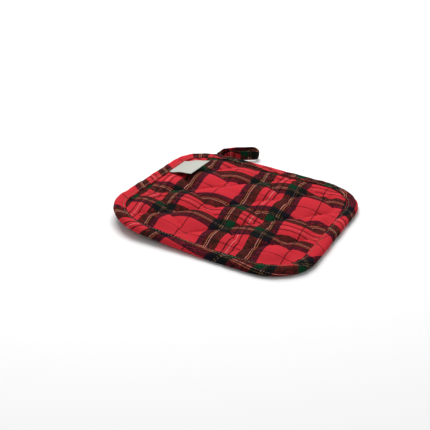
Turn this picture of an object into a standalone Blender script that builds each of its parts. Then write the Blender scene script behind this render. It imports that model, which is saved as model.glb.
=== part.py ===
"""A square quilted pot holder: pad, bias binding, hanging loop and a blank care label.

Lengths are in metres. The pad lies on the ground plane with +Z up. Its back-left corner
(-X, +Y) carries the loop, and its front-left corner (-X, -Y) curls up a little.
"""

import math

import bpy
import numpy as np

# Plan of the whole holder, measured to the outside of the binding.
HALF_WIDTH = 0.1015
CORNER_RADIUS = 0.048

# Corner curl: the surface rises along this plan direction, past a level part.
CURL_TOWARDS = (-0.85, -0.33)
CURL_STARTS = 0.015
CURL_RUN = 0.101
CURL_HEIGHT = 0.010
CURL_POWER = 1.6

# Binding: a folded tape. Insets are measured inwards from the outside edge.
BINDING_HALF_HEIGHT = 0.0036
BINDING_CORNER_STEPS = 10
BINDING_SIDE_STEPS = 8
# Columns: inset from the outside edge, height above the middle of the tape.
BINDING_OUTSIDE = (
    (0.0115, 0.0035),
    (0.0045, 0.0036),
    (0.0020, 0.0031),
    (0.0006, 0.0018),
    (0.0000, 0.0000),
    (0.0006, -0.0018),
    (0.0020, -0.0031),
    (0.0045, -0.0036),
    (0.0115, -0.0036),
)
BINDING_INSIDE = (
    (0.0115, -0.0025),
    (0.0032, -0.0025),
    (0.0024, -0.0013),
    (0.0024, 0.0013),
    (0.0032, 0.0025),
    (0.0115, 0.0025),
)

# Pad: rings of a square grid whose corners round off towards the rim.
PAD_RINGS = 16
PAD_RIM_INSET = 0.0038
PAD_SECOND_RING_INSET = 0.0126
PAD_RIM_HALF_HEIGHT = 0.0022
PAD_RAMP_STARTS = 0.0126
PAD_RAMP_WIDTH = 0.0140
CHANNEL_RISE = -0.0022
DOME_RISE = 0.0020
PUFF_RISE = 0.0056
PUFF_POWER = 0.55
UNDER_DROP = BINDING_HALF_HEIGHT - PAD_RIM_HALF_HEIGHT
UNDER_CHANNEL_DEPTH = 0.0018
UNDER_FLAT_FROM = 0.45

# Quilting: two sets of parallel seams, turned with the cloth.
CLOTH_TURN = math.radians(4.0)
CLOTH_ORIGIN = (-0.0310, 0.0225)
SEAM_SPACING = 0.0400
SEAM_OFFSETS = (-0.0053, -0.0130)

# Hanging loop: a strip on edge that leaves the corner, turns back and returns.
LOOP_NEAR_ROOT = math.radians(103.0)
LOOP_FAR_ROOT = math.radians(113.0)
LOOP_ROOT_CLEARANCE = 0.00035
LOOP_REACH = 0.0318
LOOP_REACH_HEADING = math.radians(29.2)
LOOP_HEADING = math.radians(38.0)
LOOP_FAR_SLANT = math.radians(22.0)
LOOP_TURN_RADIUS = 0.0060
LOOP_THICKNESS = 0.0020
LOOP_HEIGHT = 0.0100
LOOP_CHAMFER = 0.0006
LOOP_BOTTOM = 0.0015
LOOP_STRAIGHT_STEPS = 18
LOOP_TURN_STEPS = 12

# Care label: a small thick sheet over the pad, beside the binding. Its free side stands up.
LABEL_LEFT = -0.0892
LABEL_FRONT = 0.0215
LABEL_WIDTH = 0.0260
LABEL_LENGTH = 0.0340
LABEL_SKEW = 0.0024
LABEL_FAN = 0.0030
LABEL_FRONT_SHARE = 0.35
LABEL_THICKNESS = 0.0010
LABEL_CLEARANCE = 0.0010
LABEL_FREE_SIDE_RISE = 0.0042
LABEL_STEPS = (7, 8)

# Columns: base colour (linear), roughness.
FINISHES = {
    "quilted_pad": ((0.240, 0.022, 0.026), 0.90),
    "edge_binding": ((0.180, 0.018, 0.020), 0.90),
    "hanging_loop": ((0.090, 0.020, 0.018), 0.90),
    "care_label": ((0.590, 0.640, 0.560), 0.55),
}


def clear_scene():
    """Removes every object of the startup scene."""
    for obj in list(bpy.data.objects):
        bpy.data.objects.remove(obj, do_unlink=True)


def smooth_step(t):
    """0 below t = 0, 1 above t = 1, with level ends."""
    t = np.clip(t, 0.0, 1.0)
    return t * t * (3.0 - 2.0 * t)


def curl(x, y):
    """Height of the resting side: level over most of the plan, rising to the curled corner."""
    along = CURL_TOWARDS[0] * x + CURL_TOWARDS[1] * y - CURL_STARTS
    return CURL_HEIGHT * (np.maximum(along, 0.0) / CURL_RUN) ** CURL_POWER


def edge_inset(x, y):
    """Distance inwards from the outside edge of the rounded square."""
    core = HALF_WIDTH - CORNER_RADIUS
    over_x = np.abs(x) - core
    over_y = np.abs(y) - core
    outer = np.hypot(np.maximum(over_x, 0.0), np.maximum(over_y, 0.0))
    inner = np.minimum(np.maximum(over_x, over_y), 0.0)
    return CORNER_RADIUS - outer - inner


def puff(x, y):
    """1 in the middle of a quilted diamond, 0 along its seams."""
    dx = x - CLOTH_ORIGIN[0]
    dy = y - CLOTH_ORIGIN[1]
    across = dx * math.cos(CLOTH_TURN) + dy * math.sin(CLOTH_TURN)
    down = dx * math.sin(CLOTH_TURN) - dy * math.cos(CLOTH_TURN)
    first = (across + down) / math.sqrt(2.0) - SEAM_OFFSETS[0]
    second = (down - across) / math.sqrt(2.0) - SEAM_OFFSETS[1]
    waves = np.abs(np.sin(math.pi * first / SEAM_SPACING))
    waves = waves * np.abs(np.sin(math.pi * second / SEAM_SPACING))
    return waves**PUFF_POWER


def pad_ramp(x, y):
    """0 under the binding, 1 where the filling reaches its full height."""
    return smooth_step((edge_inset(x, y) - PAD_RAMP_STARTS) / PAD_RAMP_WIDTH)


def pad_top(x, y, fullness):
    """Height of the upper cloth, for a fullness of 0 in a channel and 1 on a puff."""
    dome = (1.0 - (x / HALF_WIDTH) ** 2) * (1.0 - (y / HALF_WIDTH) ** 2)
    rise = CHANNEL_RISE + DOME_RISE * np.maximum(dome, 0.0) + PUFF_RISE * fullness
    middle = curl(x, y) + BINDING_HALF_HEIGHT
    return middle + PAD_RIM_HALF_HEIGHT + pad_ramp(x, y) * rise


def pad_bottom(x, y):
    """Height of the lower cloth: level puffs to rest on, and shallow channels."""
    channel = np.clip(1.0 - puff(x, y) / UNDER_FLAT_FROM, 0.0, 1.0)
    fall = UNDER_DROP - UNDER_CHANNEL_DEPTH * channel
    return curl(x, y) + UNDER_DROP - pad_ramp(x, y) * fall


def ring_half_width(ring):
    """Half the width of a ring of the grid, from 0 in the middle to the pad's rim."""
    second = HALF_WIDTH - PAD_SECOND_RING_INSET
    rim = HALF_WIDTH - PAD_RIM_INSET
    return np.where(ring == PAD_RINGS, rim, second * ring / (PAD_RINGS - 1))


def pad_plan():
    """Plan positions of the grid's points, as two arrays of rows and columns."""
    index = np.arange(-PAD_RINGS, PAD_RINGS + 1)
    column, row = np.meshgrid(index, index)
    ring = np.maximum(np.abs(column), np.abs(row))
    share = np.minimum(np.abs(column), np.abs(row)) / np.maximum(ring, 1)
    half = ring_half_width(ring)
    rim = HALF_WIDTH - PAD_RIM_INSET
    radius = (CORNER_RADIUS - PAD_RIM_INSET) * (half / rim) ** 2
    straight = half - radius
    along = share * (straight + radius * math.pi / 4.0)
    turn = np.maximum(along - straight, 0.0) / np.maximum(radius, 1e-9)
    minor = np.where(along > straight, straight + radius * np.sin(turn), along)
    major = straight + radius * np.cos(turn)
    wide = np.abs(column) >= np.abs(row)
    x = np.sign(column) * np.where(wide, major, minor)
    y = np.sign(row) * np.where(wide, minor, major)
    return x, y


def grid_faces(rows, columns, start):
    """Four-sided faces of a grid whose points are numbered along rows."""
    faces = []
    for row in range(rows - 1):
        for column in range(columns - 1):
            a = start + row * columns + column
            faces.append((a, a + 1, a + columns + 1, a + columns))
    return faces


def border_loop(rows, columns):
    """Point numbers round the border of a grid, in order."""
    front = [column for column in range(columns - 1)]
    right = [row * columns + columns - 1 for row in range(rows - 1)]
    back = [(rows - 1) * columns + column for column in range(columns - 1, 0, -1)]
    left = [row * columns for row in range(rows - 1, 0, -1)]
    return front + right + back + left


def sheet_solid(x, y, bottom, top):
    """Points and faces of the closed solid between two height fields on one grid."""
    rows, columns = x.shape
    count = rows * columns
    lower = np.stack([x, y, bottom], axis=-1).reshape(count, 3)
    upper = np.stack([x, y, top], axis=-1).reshape(count, 3)
    faces = [face[::-1] for face in grid_faces(rows, columns, 0)]
    faces += grid_faces(rows, columns, count)
    border = border_loop(rows, columns)
    for first, second in zip(border, border[1:] + border[:1]):
        faces.append((first, second, count + second, count + first))
    return np.concatenate([lower, upper]), faces


def swept_faces(stations, section, closed):
    """Faces of a section carried along stations, with end caps unless it closes."""
    faces = []
    for station in range(stations if closed else stations - 1):
        following = (station + 1) % stations
        for corner in range(section):
            after = (corner + 1) % section
            faces.append(
                (
                    station * section + corner,
                    station * section + after,
                    following * section + after,
                    following * section + corner,
                )
            )
    if not closed:
        faces.append(tuple(range(section))[::-1])
        last = (stations - 1) * section
        faces.append(tuple(range(last, last + section)))
    return faces


def signed_volume(points, faces):
    """Volume inside the faces, negative when they face inwards."""
    total = 0.0
    for face in faces:
        for second, third in zip(face[1:-1], face[2:]):
            cross = np.cross(points[second], points[third])
            total += float(np.dot(points[face[0]], cross))
    return total / 6.0


def add_solid(name, points, faces):
    """Makes one named object with its own material from a closed solid."""
    if signed_volume(points, faces) < 0.0:
        faces = [tuple(face)[::-1] for face in faces]
    mesh = bpy.data.meshes.new(name)
    mesh.from_pydata([tuple(point) for point in points.tolist()], [], faces)
    mesh.update()
    colour, roughness = FINISHES[name]
    material = bpy.data.materials.new(name)
    material.use_nodes = True
    shader = material.node_tree.nodes["Principled BSDF"]
    shader.inputs["Base Color"].default_value = (*colour, 1.0)
    shader.inputs["Roughness"].default_value = roughness
    shader.inputs["Metallic"].default_value = 0.0
    mesh.materials.append(material)
    obj = bpy.data.objects.new(name, mesh)
    bpy.context.scene.collection.objects.link(obj)
    return obj


def add_quilted_pad():
    """The filled pad: domed and quilted above, level puffs below, thin at its rim."""
    x, y = pad_plan()
    points, faces = sheet_solid(x, y, pad_bottom(x, y), pad_top(x, y, puff(x, y)))
    return add_solid("quilted_pad", points, faces)


def outline_stations():
    """Points of the outside edge and their outward directions, once round."""
    core = HALF_WIDTH - CORNER_RADIUS
    places = []
    outward = []
    for quarter in range(4):
        base = quarter * math.pi / 2.0
        side = np.array([math.cos(base), math.sin(base)])
        tangent = np.array([-side[1], side[0]])
        for step in range(BINDING_SIDE_STEPS):
            along = core * (2.0 * step / BINDING_SIDE_STEPS - 1.0)
            places.append(side * HALF_WIDTH + tangent * along)
            outward.append(side)
        centre = (side + tangent) * core
        for step in range(BINDING_CORNER_STEPS):
            angle = base + step / BINDING_CORNER_STEPS * math.pi / 2.0
            normal = np.array([math.cos(angle), math.sin(angle)])
            places.append(centre + normal * CORNER_RADIUS)
            outward.append(normal)
    return np.array(places), np.array(outward)


def add_edge_binding():
    """The folded tape that closes the rim, swept once round the outline."""
    section = np.array(BINDING_OUTSIDE + BINDING_INSIDE)
    places, outward = outline_stations()
    plan = places[:, None, :] - outward[:, None, :] * section[None, :, :1]
    height = curl(plan[..., 0], plan[..., 1]) + BINDING_HALF_HEIGHT + section[None, :, 1]
    points = np.concatenate([plan, height[..., None]], axis=-1)
    faces = swept_faces(len(places), len(section), closed=True)
    return add_solid("edge_binding", points.reshape(-1, 3), faces)


def bezier(start, leaving, end, arriving, steps):
    """Plan points of a cubic curve between two points, with the two headings given."""
    reach = np.linalg.norm(end - start) / 3.0
    first = start + reach * np.array([math.cos(leaving), math.sin(leaving)])
    second = end - reach * np.array([math.cos(arriving), math.sin(arriving)])
    t = np.linspace(0.0, 1.0, steps + 1)[:, None]
    s = 1.0 - t
    return s**3 * start + 3 * s * s * t * first + 3 * s * t * t * second + t**3 * end


def loop_root(angle):
    """Where the strip's middle meets the rounded corner, just clear of the binding."""
    core = HALF_WIDTH - CORNER_RADIUS
    reach = CORNER_RADIUS + LOOP_ROOT_CLEARANCE + LOOP_THICKNESS / 2.0
    return np.array([-core + reach * math.cos(angle), core + reach * math.sin(angle)])


def loop_path():
    """The strip's middle line: out from the corner, round the turn and back."""
    heading = np.array([math.cos(LOOP_HEADING), math.sin(LOOP_HEADING)])
    left = np.array([-heading[1], heading[0]])
    near_root = loop_root(LOOP_NEAR_ROOT)
    far_root = loop_root(LOOP_FAR_ROOT)
    reach = np.array([math.cos(LOOP_REACH_HEADING), math.sin(LOOP_REACH_HEADING)])
    turn_start = near_root + reach * LOOP_REACH
    turn_end = turn_start + left * 2.0 * LOOP_TURN_RADIUS
    centre = turn_start + left * LOOP_TURN_RADIUS
    near_tangent = LOOP_NEAR_ROOT - math.pi / 2.0
    far_tangent = LOOP_FAR_ROOT + math.pi / 2.0
    out = bezier(near_root, near_tangent, turn_start, LOOP_HEADING, LOOP_STRAIGHT_STEPS)
    back = bezier(
        turn_end,
        LOOP_HEADING + math.pi,
        far_root,
        far_tangent + LOOP_FAR_SLANT,
        LOOP_STRAIGHT_STEPS,
    )
    angle = np.linspace(0.0, math.pi, LOOP_TURN_STEPS + 1)[1:-1, None]
    turn = centre + LOOP_TURN_RADIUS * (np.sin(angle) * heading - np.cos(angle) * left)
    return np.concatenate([out, turn, back])


def loop_section():
    """The strip's cross-section: columns are sideways offset and height."""
    side = LOOP_THICKNESS / 2.0
    top = LOOP_BOTTOM + LOOP_HEIGHT
    cut = LOOP_CHAMFER
    return np.array(
        [
            (side, LOOP_BOTTOM + cut),
            (side, top - cut),
            (side - cut, top),
            (-side + cut, top),
            (-side, top - cut),
            (-side, LOOP_BOTTOM + cut),
            (-side + cut, LOOP_BOTTOM),
            (side - cut, LOOP_BOTTOM),
        ]
    )


def add_hanging_loop():
    """The loop: a strip of folded tape standing on edge, with an open eye."""
    path = loop_path()
    section = loop_section()
    heading = np.gradient(path, axis=0)
    heading /= np.linalg.norm(heading, axis=1, keepdims=True)
    sideways = np.stack([heading[:, 1], -heading[:, 0]], axis=-1)
    plan = path[:, None, :] + sideways[:, None, :] * section[None, :, :1]
    height = np.broadcast_to(section[None, :, 1:], (len(path), len(section), 1))
    points = np.concatenate([plan, height], axis=-1)
    faces = swept_faces(len(path), len(section), closed=False)
    return add_solid("hanging_loop", points.reshape(-1, 3), faces)


def add_care_label():
    """The blank label, held just clear of the puffs below it."""
    across = np.linspace(LABEL_LEFT, LABEL_LEFT + LABEL_WIDTH, LABEL_STEPS[0])
    along = np.linspace(LABEL_FRONT, LABEL_FRONT + LABEL_LENGTH, LABEL_STEPS[1])
    x, y = np.meshgrid(across, along)
    share = (x - LABEL_LEFT) / LABEL_WIDTH
    back = (y - LABEL_FRONT) / LABEL_LENGTH
    x = x + LABEL_FAN * share * (back - 0.5)
    y = y + LABEL_SKEW * share * back
    rise = LABEL_FREE_SIDE_RISE * (LABEL_FRONT_SHARE + (1.0 - LABEL_FRONT_SHARE) * back)
    bottom = pad_top(x, y, 1.0) + LABEL_CLEARANCE + rise * share**2
    points, faces = sheet_solid(x, y, bottom, bottom + LABEL_THICKNESS)
    return add_solid("care_label", points, faces)


def centre_on_footprint(objects):
    """Slides all the solids so that the middle of their joint box is over the origin."""
    corners = np.concatenate(
        [[tuple(vertex.co) for vertex in obj.data.vertices] for obj in objects]
    )
    low = corners.min(axis=0)
    high = corners.max(axis=0)
    slide = (-(low[0] + high[0]) / 2.0, -(low[1] + high[1]) / 2.0, -low[2])
    for obj in objects:
        for vertex in obj.data.vertices:
            vertex.co = [value + step for value, step in zip(vertex.co, slide)]


def main():
    """Builds the four solids and sets them on the ground plane."""
    clear_scene()
    solids = [add_quilted_pad(), add_edge_binding(), add_hanging_loop(), add_care_label()]
    centre_on_footprint(solids)


main()
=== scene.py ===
"""Looks of a tartan pot holder: quilted pad, bias binding, hanging loop and a blank label.

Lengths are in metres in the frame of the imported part: +Z up from the resting face, with the
hanging loop at the -X, +Y corner. Lengths of cloth are also told in half-setts, which is the
distance between two turning points of the tartan.
"""

from __future__ import annotations

import logging
import math
from dataclasses import dataclass
from enum import Enum

import bpy
import numpy as np
from mathutils import Matrix, Vector


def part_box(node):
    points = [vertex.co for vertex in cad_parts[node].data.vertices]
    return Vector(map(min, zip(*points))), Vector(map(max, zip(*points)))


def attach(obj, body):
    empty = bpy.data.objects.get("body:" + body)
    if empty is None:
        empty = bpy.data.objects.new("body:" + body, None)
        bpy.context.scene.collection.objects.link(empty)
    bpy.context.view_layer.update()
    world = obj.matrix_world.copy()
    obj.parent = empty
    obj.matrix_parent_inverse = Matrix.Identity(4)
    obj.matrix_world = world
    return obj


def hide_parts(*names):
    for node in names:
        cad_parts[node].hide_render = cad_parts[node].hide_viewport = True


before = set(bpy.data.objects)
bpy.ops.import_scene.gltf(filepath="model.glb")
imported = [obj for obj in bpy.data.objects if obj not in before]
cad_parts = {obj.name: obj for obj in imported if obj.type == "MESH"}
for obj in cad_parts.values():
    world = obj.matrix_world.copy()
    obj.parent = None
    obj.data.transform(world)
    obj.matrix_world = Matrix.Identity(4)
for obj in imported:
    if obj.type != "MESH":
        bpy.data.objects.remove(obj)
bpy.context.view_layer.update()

LOG = logging.getLogger("pot_holder")
Array = np.ndarray

# Half of the tartan's repeat, from one turning point to the next.
HALF_SETT = 0.05017

# Height of the middle of the pad's rim, which the binding is folded round.
RIM_MIDDLE = 0.0036

# The shortest and the longest wave of an unevenness, as shares of its middle wavelength.
SHORTEST, LONGEST = 0.7, 1.5


# --------------------------------------------------------------------------------------
# Shader nodes written as expressions
# --------------------------------------------------------------------------------------


class Socket:
    """One output of a node tree, with the arithmetic of Python's operators."""

    def __init__(self, tree: Nodes, link: bpy.types.NodeSocket) -> None:
        """Keeps the tree and the output that this value stands for."""
        self.tree = tree
        self.link = link

    def maths(self, operation: str, *others: Socket | float) -> Socket:
        """Adds a Math node.

        Args:
            operation: The Math node's operation.
            others: Its inputs, in order.

        Returns:
            The node's value.
        """
        inputs = dict(enumerate(others))
        return self.tree.add("ShaderNodeMath", {"operation": operation}, inputs)

    def __add__(self, other: Socket | float) -> Socket:
        """Returns self + other."""
        return self.maths("ADD", self, other)

    __radd__ = __add__

    def __sub__(self, other: Socket | float) -> Socket:
        """Returns self - other."""
        return self.maths("SUBTRACT", self, other)

    def __rsub__(self, other: Socket | float) -> Socket:
        """Returns other - self."""
        return self.maths("SUBTRACT", other, self)

    def __mul__(self, other: Socket | float) -> Socket:
        """Returns self * other."""
        return self.maths("MULTIPLY", self, other)

    __rmul__ = __mul__

    def __truediv__(self, other: Socket | float) -> Socket:
        """Returns self / other."""
        return self.maths("DIVIDE", self, other)

    def __gt__(self, other: float) -> Socket:
        """Returns 1 where self is over other, and 0 elsewhere."""
        return self.maths("GREATER_THAN", self, other)

    def __lt__(self, other: float) -> Socket:
        """Returns 1 where self is under other, and 0 elsewhere."""
        return self.maths("LESS_THAN", self, other)

    def floor(self) -> Socket:
        """Returns the whole number below self."""
        return self.maths("FLOOR", self)

    def sine(self) -> Socket:
        """Returns the sine of self, in radians."""
        return self.maths("SINE", self)

    def absolute(self) -> Socket:
        """Returns self without its sign."""
        return self.maths("ABSOLUTE", self)

    def folded(self, top: float) -> Socket:
        """Returns self folded back and forth between 0 and top."""
        return self.maths("PINGPONG", self, top)

    def power(self, exponent: float) -> Socket:
        """Returns self raised to the exponent."""
        return self.maths("POWER", self, exponent)

    def clamped(self) -> Socket:
        """Returns self held between 0 and 1."""
        return self.tree.add("ShaderNodeClamp", None, {0: self})

    def wrapped(self, period: float) -> Socket:
        """Returns what is left of self above the last multiple of period."""
        return self.maths("FLOORED_MODULO", self, period)


class Nodes:
    """A material's node tree."""

    def __init__(self, name: str) -> None:
        """Makes an empty material.

        Args:
            name: Its name.
        """
        self.material = bpy.data.materials.new(name)
        self.material.use_nodes = True
        self.material.node_tree.nodes.clear()

    def add(
        self, kind: str, settings: dict | None = None, inputs: dict | None = None, output: int = 0
    ) -> Socket:
        """Adds any node.

        Args:
            kind: The node's type.
            settings: Its properties, set first. "stops" fills a colour ramp.
            inputs: Values or links, by the index or the name of the socket.
            output: Which output is returned.

        Returns:
            That output.
        """
        node = self.material.node_tree.nodes.new(kind)
        for key, value in (settings or {}).items():
            if key == "stops":
                self.fill_ramp(node.color_ramp, value)
            else:
                setattr(node, key, value)
        for key, value in (inputs or {}).items():
            if isinstance(value, Socket):
                self.material.node_tree.links.new(value.link, node.inputs[key])
            else:
                node.inputs[key].default_value = value
        return Socket(self, node.outputs[output])

    @staticmethod
    def fill_ramp(ramp: bpy.types.ColorRamp, stops: list[tuple[float, tuple]]) -> None:
        """Sets a ramp's steps, each holding its colour up to the next one.

        Args:
            ramp: The node's ramp.
            stops: Where each step starts, and its colour.
        """
        ramp.interpolation = "CONSTANT"
        while len(ramp.elements) < len(stops):
            ramp.elements.new(1.0)
        for element, (position, colour) in zip(ramp.elements, stops):
            element.position = position
            element.color = colour

    def coordinate(self, name: str) -> tuple[Socket, Socket]:
        """Reads a piece's own UV map.

        Args:
            name: The map's name.

        Returns:
            Its two numbers.
        """
        uv = self.add("ShaderNodeUVMap", {"uv_map": name})
        split = self.add("ShaderNodeSeparateXYZ", None, {0: uv})
        return split, Socket(self, split.link.node.outputs[1])

    def noise(self, scale: float, detail: float) -> Socket:
        """Adds soft noise in object space.

        Args:
            scale: Its cells to the metre.
            detail: How many finer layers it has.

        Returns:
            Its value, about 0.5 on average.
        """
        place = self.add("ShaderNodeTexCoord", None, None, 3)
        inputs = {"Vector": place, "Scale": scale, "Detail": detail}
        return self.add("ShaderNodeTexNoise", None, inputs, 0)

    def grey(self, value: Socket) -> Socket:
        """Returns a grey colour of that value."""
        return self.add("ShaderNodeCombineColor", None, {0: value, 1: value, 2: value})

    def mix(
        self,
        share: Socket | float,
        first: Socket | tuple,
        second: Socket | tuple,
        blend: str = "MIX",
    ) -> Socket:
        """Mixes two colours.

        Args:
            share: How much of the second, from 0 to 1.
            first: A colour.
            second: Another colour.
            blend: The Mix node's way of mixing.

        Returns:
            The mixed colour.
        """
        settings = {"data_type": "RGBA", "blend_type": blend}
        return self.add("ShaderNodeMix", settings, {0: share, 6: first, 7: second}, 2)

    def finish(
        self, constants: dict, colour: Socket | tuple, height: Socket | None, depth: float
    ) -> None:
        """Adds the shader and the output.

        Args:
            constants: Values set directly on the shader's sockets.
            colour: The base colour.
            height: What the bump follows, or None.
            depth: The bump's distance in metres.
        """
        inputs = {**constants, "Base Color": colour}
        if height is not None:
            inputs["Normal"] = self.add(
                "ShaderNodeBump", None, {"Strength": 1.0, "Distance": depth, "Height": height}
            )
        shader = self.add("ShaderNodeBsdfPrincipled", None, inputs)
        self.add_output(shader)

    def add_output(self, shader: Socket) -> None:
        """Links a shader to a new material output."""
        node = self.material.node_tree.nodes.new("ShaderNodeOutputMaterial")
        self.material.node_tree.links.new(shader.link, node.inputs["Surface"])


# --------------------------------------------------------------------------------------
# Finishes
# --------------------------------------------------------------------------------------


class Yarn(Enum):
    """Yarns of the tartan: linear colour, and how strongly each covers the other yarn."""

    RED = ((0.560, 0.026, 0.038), 0.12)
    WINE = ((0.070, 0.006, 0.008), 0.40)
    MAROON = ((0.040, 0.006, 0.008), 1.00)
    NAVY = ((0.008, 0.006, 0.012), 1.60)
    BLACK = ((0.006, 0.006, 0.006), 1.90)
    GREEN = ((0.005, 0.010, 0.006), 1.90)
    YELLOW = ((0.540, 0.300, 0.100), 0.24)
    WHITE = ((0.560, 0.330, 0.250), 0.22)
    ROSE = ((0.720, 0.260, 0.250), 0.05)

    def stop(self) -> tuple[float, float, float, float]:
        """Returns the colour with its strength in the fourth place."""
        return (*self.value[0], self.value[1])


# One half-sett, from the middle of the large red square to the middle of the small one.
# Columns: where the stripe starts, in half-setts, and its yarn.
STRIPES = (
    (0.000, Yarn.WINE),
    (0.009, Yarn.RED),
    (0.402, Yarn.NAVY),
    (0.500, Yarn.BLACK),
    (0.563, Yarn.YELLOW),
    (0.573, Yarn.BLACK),
    (0.604, Yarn.WHITE),
    (0.614, Yarn.BLACK),
    (0.640, Yarn.GREEN),
    (0.792, Yarn.RED),
    (0.910, Yarn.MAROON),
    (0.934, Yarn.RED),
    (0.990, Yarn.ROSE),
)

# Where the green stripe starts and ends, and the colour where two of them cross.
GREEN_FROM, GREEN_TO = 0.640, 0.792
GREEN_SQUARE = (0.003, 0.040, 0.015, 1.0)


@dataclass(frozen=True)
class TartanFinish:
    """Cotton twill with the tartan woven in. It reads the UV map "cloth", in half-setts.

    Attributes:
        name: The material's name.
        threads: How many threads fill one half-sett.
        steps: After how many threads the twill repeats.
        lift: How much stronger a yarn grows where the twill lifts it.
        weft_contrast: The power that the strength of a weft yarn is raised to.
        weft_cover: How strongly the weft covers the warp, after that power.
        waver_scale: Scale of the noise that bends the stripes.
        waver: How far the stripes bend, in half-setts.
        slub_scale: Scale of the noise of uneven threads.
        slub: How far that noise shifts the share of the weft.
        green_share: How far the crossing of two green yarns turns to its own green.
        fibre_scale: Scale of the fine shading.
        fibre: Strength of the fine shading.
        wear_scale: Scale of the broad shading.
        wear: Strength of the broad shading.
        darkest: What is left of the colour where both shadings are least.
        weft_shade: How much darker the lifted weft is.
        fuzz_scale: Scale of the noise in the bump.
        fuzz: Height of that noise beside a thread's.
        depth: Height of a thread in metres.
        roughness: The shader's roughness.
        specular: The shader's specular level.
    """

    name: str
    threads: float = 76.0
    steps: float = 4.0
    lift: float = 14.0
    weft_contrast: float = 1.5
    weft_cover: float = 1.4
    waver_scale: float = 55.0
    waver: float = 0.012
    slub_scale: float = 430.0
    slub: float = 0.9
    green_share: float = 0.85
    fibre_scale: float = 900.0
    fibre: float = 0.30
    wear_scale: float = 38.0
    wear: float = 0.24
    darkest: float = 0.73
    weft_shade: float = 0.10
    fuzz_scale: float = 1400.0
    fuzz: float = 0.8
    depth: float = 0.00012
    roughness: float = 0.9
    specular: float = 0.03

    def material(self) -> bpy.types.Material:
        """Weaves the two yarns.

        The warp follows the first coordinate and the weft the second. Each is folded onto one
        half-sett and looked up in the stripes. Each yarn's share at a crossing is its strength
        over the sum of both strengths. The twill's step is the difference of the two threads'
        numbers, left over after the repeat: it lifts the warp at one step and the weft at the
        step half a repeat away.

        Returns:
            The material.
        """
        nodes = Nodes(self.name)
        warp_at, weft_at = nodes.coordinate("cloth")
        waver = nodes.noise(self.waver_scale, 2.0) * self.waver - self.waver / 2.0
        warp, warp_over = self.stripe(nodes, (warp_at + waver).folded(1.0))
        weft, weft_over = self.stripe(nodes, (weft_at - waver).folded(1.0))
        weft_over = weft_over.power(self.weft_contrast) * self.weft_cover
        thread_apart = (warp_at * self.threads).floor() - (weft_at * self.threads).floor()
        step = thread_apart.wrapped(self.steps)
        warp_up = step < 0.5
        weft_up = (step - self.steps / 2.0).absolute() < 0.5
        warp_pull = warp_over * (1.0 + warp_up * self.lift)
        weft_pull = weft_over * (1.0 + weft_up * self.lift)
        slub = nodes.noise(self.slub_scale, 2.0) * self.slub - self.slub / 2.0
        share = (weft_pull / (warp_pull + weft_pull) + slub).clamped()
        cloth = nodes.mix(share, warp, weft)
        cloth = nodes.mix(self.green_square(warp_at, weft_at), cloth, GREEN_SQUARE)
        fibre = nodes.noise(self.fibre_scale, 3.0) * self.fibre
        shading = fibre + nodes.noise(self.wear_scale, 3.0) * self.wear + self.darkest
        shading = shading * (1.0 - weft_up * self.weft_shade)
        cloth = nodes.mix(1.0, cloth, nodes.grey(shading), "MULTIPLY")
        ribs = self.ribs(warp_at, 1.0 - weft_up) + self.ribs(weft_at, weft_up)
        height = ribs + nodes.noise(self.fuzz_scale, 2.0) * self.fuzz
        constants = {"Roughness": self.roughness, "Specular IOR Level": self.specular}
        nodes.finish(constants, cloth, height, self.depth)
        return nodes.material

    @staticmethod
    def stripe(nodes: Nodes, place: Socket) -> tuple[Socket, Socket]:
        """Looks a place up in the stripes.

        Args:
            nodes: The material's nodes.
            place: The place in the half-sett, from 0 to 1.

        Returns:
            The yarn's colour, and its strength.
        """
        stops = [(start, yarn.stop()) for start, yarn in STRIPES]
        colour = nodes.add("ShaderNodeValToRGB", {"stops": stops}, {0: place})
        return colour, Socket(nodes, colour.link.node.outputs[1])

    def green_square(self, warp_at: Socket, weft_at: Socket) -> Socket:
        """Finds where both yarns are green.

        Args:
            warp_at: The warp's coordinate.
            weft_at: The weft's coordinate.

        Returns:
            The share of the square's green, which is 0 outside the squares.
        """
        warp, weft = warp_at.folded(1.0), weft_at.folded(1.0)
        inside = (warp > GREEN_FROM) * (warp < GREEN_TO)
        return inside * (weft > GREEN_FROM) * (weft < GREEN_TO) * self.green_share

    def ribs(self, place: Socket, shown: Socket | float) -> Socket:
        """Returns the round backs of the threads that lie on top."""
        return (place * (self.threads * math.pi)).sine().absolute() * shown


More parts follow.
